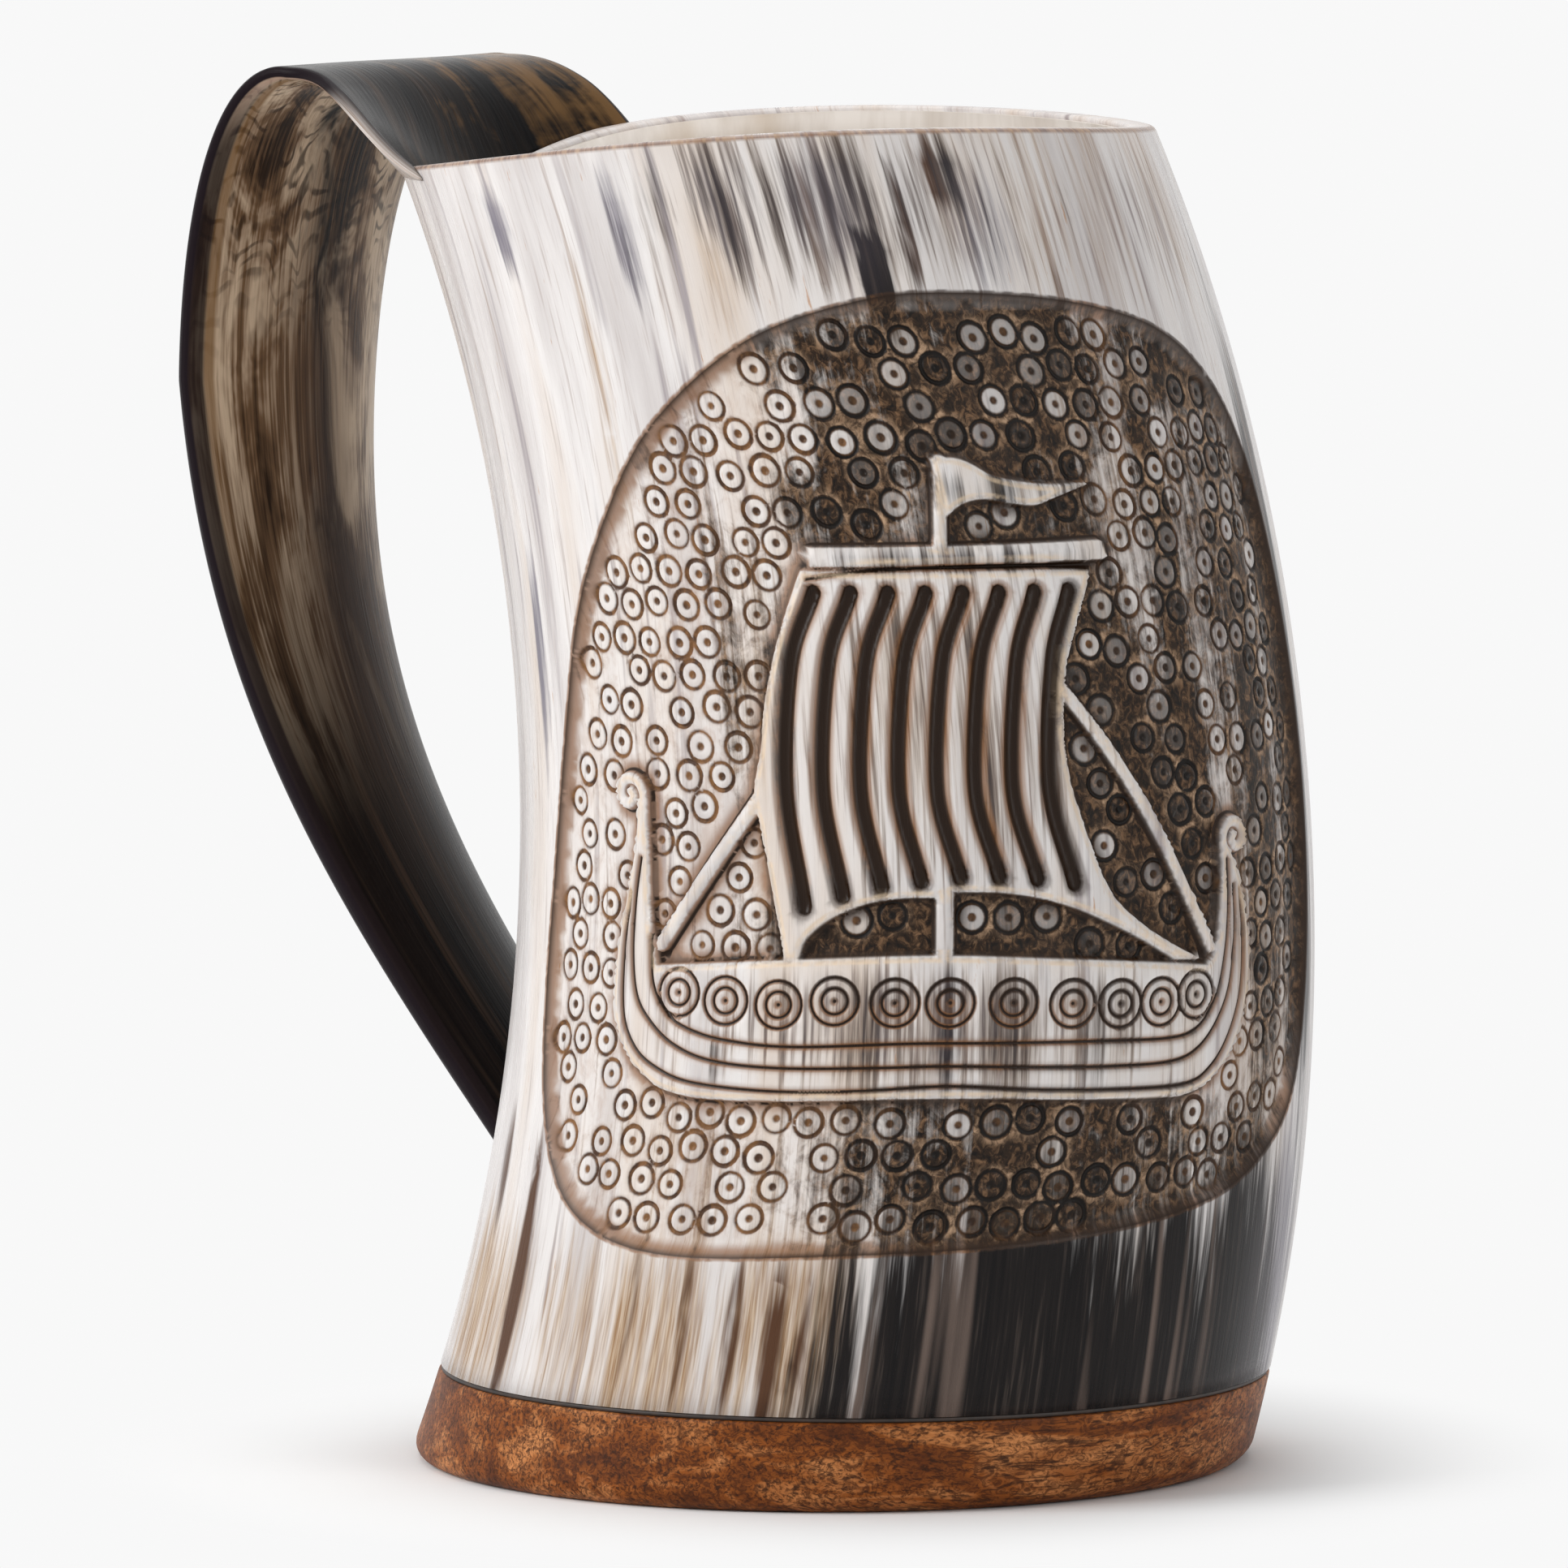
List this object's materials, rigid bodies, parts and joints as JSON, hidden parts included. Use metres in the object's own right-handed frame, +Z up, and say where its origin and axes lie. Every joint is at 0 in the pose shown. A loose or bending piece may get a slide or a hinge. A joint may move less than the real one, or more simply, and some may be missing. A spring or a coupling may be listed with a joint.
{
  "type": "horn tankard",
  "caption": "Drinking tankard cut from a bent horn, with a strip handle let into the wall, a carved panel on the front, a coated inside and a turned wooden base.",
  "frame": {"origin": "centre of the wooden base's underside, where the tankard stands", "axes": "+Z up through the mouth, -X towards the handle, the carved panel faces +X and -Y"},
  "size_m": [0.1366, 0.0996, 0.1649],
  "materials": {
    "pale_horn": "polished horn, pale with grey, amber and dark streaks; carved ground toned brown",
    "dark_horn": "polished dark horn with amber and cream patches",
    "base_wood": "oiled, satin",
    "glue": "dark filler",
    "inner_coat": "clear food-safe coat over scraped horn",
    "peg_horn": "horn pegs, flush"
  },
  "bodies": {
    "root": {"horn_body": "pale_horn", "horn_handle": "dark_horn", "wooden_base": "base_wood", "base_glue_ring": "glue", "inner_lining": "inner_coat", "root_peg_near": "peg_horn", "root_peg_far": "peg_horn", "foot_peg_near": "peg_horn", "foot_peg_far": "peg_horn"}
  },
  "joints": []
}
